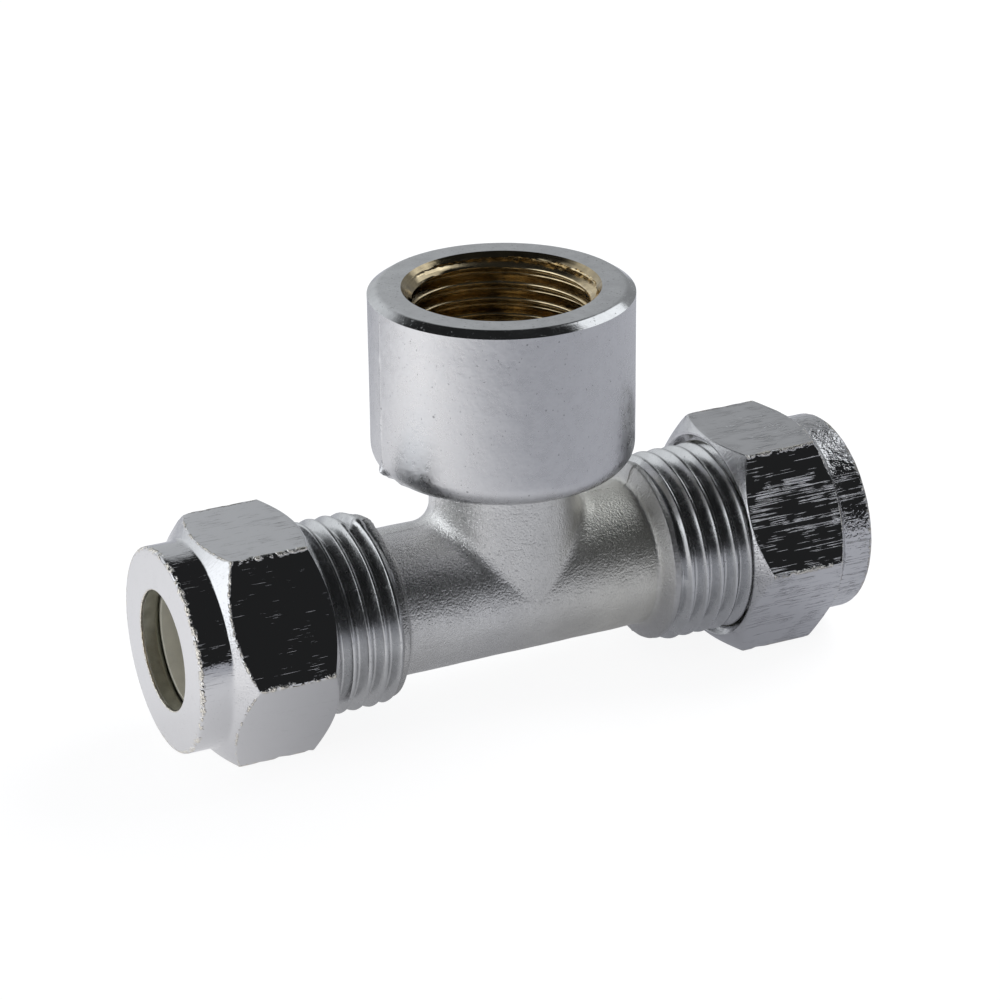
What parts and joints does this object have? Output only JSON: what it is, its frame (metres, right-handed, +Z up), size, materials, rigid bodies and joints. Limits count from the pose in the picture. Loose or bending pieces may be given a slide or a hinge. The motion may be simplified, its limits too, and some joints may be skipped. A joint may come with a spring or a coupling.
{
  "type": "compression tee",
  "caption": "Chrome-plated pipe tee: compression nuts on a straight run for tube, and an upright branch with a female pipe thread.",
  "frame": {"origin": "on the surface that the tee stands on, below the crossing of the run's axis and the branch's axis", "axes": "+X along the run towards the right-hand nut, +Z up the branch towards its mouth, -Y towards the viewer of the picture"},
  "size_m": [0.08, 0.0282, 0.0457],
  "materials": {
    "body_plating": "satin, slightly grainy chrome plating on a brass casting",
    "nut_plating": "bright chrome plating with scratches along the flats",
    "olive_nylon": "natural nylon, smooth and matte"
  },
  "bodies": {
    "tee": {"tee_body": "body_plating"},
    "left_olive": {"left_olive": "olive_nylon"},
    "left_nut": {"left_nut": "nut_plating"},
    "right_olive": {"right_olive": "olive_nylon"},
    "right_nut": {"right_nut": "nut_plating"}
  },
  "joints": [
    {"name": "left_nut_travel", "type": "slide", "parent": "tee", "child": "left_olive", "axis": [-1, 0, 0], "range_m": [0, 0.00726]},
    {"name": "left_nut_turn", "type": "hinge", "parent": "left_olive", "child": "left_nut", "pos_m": [-0.03245, 0, 0.01185], "axis": [-1, 0, 0], "range_deg": [0, 1440]},
    {"name": "right_nut_travel", "type": "slide", "parent": "tee", "child": "right_olive", "axis": [1, 0, 0], "range_m": [0, 0.00726]},
    {"name": "right_nut_turn", "type": "hinge", "parent": "right_olive", "child": "right_nut", "pos_m": [0.03245, 0, 0.01185], "axis": [1, 0, 0], "range_deg": [0, 1440]}
  ],
  "couplings": [
    {"joint": "left_nut_travel", "follows": "left_nut_turn", "m_per_rad": 0.00028875},
    {"joint": "right_nut_travel", "follows": "right_nut_turn", "m_per_rad": 0.00028875}
  ]
}
